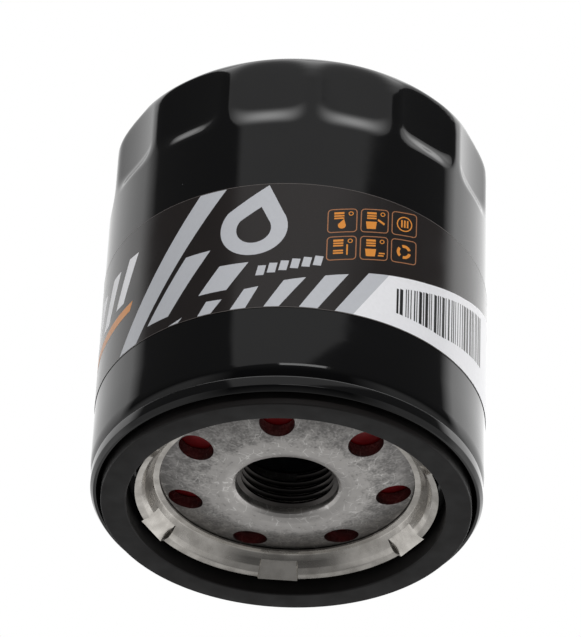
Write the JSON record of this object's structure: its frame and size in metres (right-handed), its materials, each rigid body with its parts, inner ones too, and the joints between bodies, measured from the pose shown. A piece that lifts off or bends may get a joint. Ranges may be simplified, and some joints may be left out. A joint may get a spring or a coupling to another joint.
{
  "type": "oil filter",
  "caption": "Spin-on engine oil filter: fluted black can with a wrap label, seamed lid, rubber gasket, threaded base plate with inlet holes, and a sprung pleated element inside.",
  "frame": {"origin": "centre of the gasket's sealing face, at the bottom of the box", "axes": "+Z along the thread's axis towards the closed, fluted end of the can; -Y towards the front of the label"},
  "size_m": [0.0742, 0.0742, 0.0865],
  "materials": {
    "black_paint": "gloss black enamel on drawn steel",
    "wrap_film": "satin printed film",
    "zinc_plate": "mottled zinc-plated steel",
    "tin_plate": "bright tin plate",
    "nitrile_rubber": "matte moulded rubber",
    "red_silicone": "moulded silicone",
    "bare_steel": "pressed mild steel sheet",
    "spring_steel": "oiled spring wire",
    "filter_paper": "pleated synthetic media",
    "plastisol": "cured end-cap adhesive"
  },
  "bodies": {
    "can": {"canister": "black_paint", "wrap_label": "wrap_film", "base_plate": "zinc_plate", "seam_lid": "black_paint", "gasket": "nitrile_rubber", "gasket_retainer": "tin_plate", "anti_drain_valve_hub": "red_silicone", "element_spring": "spring_steel"},
    "element": {"lower_end_cap": "bare_steel", "upper_end_cap": "bare_steel", "lower_potting": "plastisol", "upper_potting": "plastisol", "filter_media": "filter_paper", "wire_backing": "spring_steel", "media_seam_clip": "bare_steel", "centre_tube": "bare_steel", "bypass_seal": "nitrile_rubber", "bypass_cage": "bare_steel", "bypass_spring": "spring_steel"},
    "bypass_poppet": {"bypass_poppet": "bare_steel"},
    "anti_drain_valve_lip": {"anti_drain_valve_lip": "red_silicone"}
  },
  "joints": [
    {"name": "element_float", "type": "slide", "parent": "can", "child": "element", "axis": [0, 0, 1], "range_m": [0, 0.0015], "stiffness_N_per_m": 4000, "springref_m": -0.006, "deforming": ["element_spring"]},
    {"name": "bypass_valve_open", "type": "slide", "parent": "element", "child": "bypass_poppet", "axis": [0, 0, -1], "range_m": [0, 0.0035], "stiffness_N_per_m": 1200, "springref_m": -0.01, "deforming": ["bypass_spring"]},
    {"name": "anti_drain_valve_open", "type": "slide", "parent": "can", "child": "anti_drain_valve_lip", "axis": [0, 0, 1], "range_m": [0, 0.002], "stiffness_N_per_m": 150, "springref_m": -0.002}
  ]
}
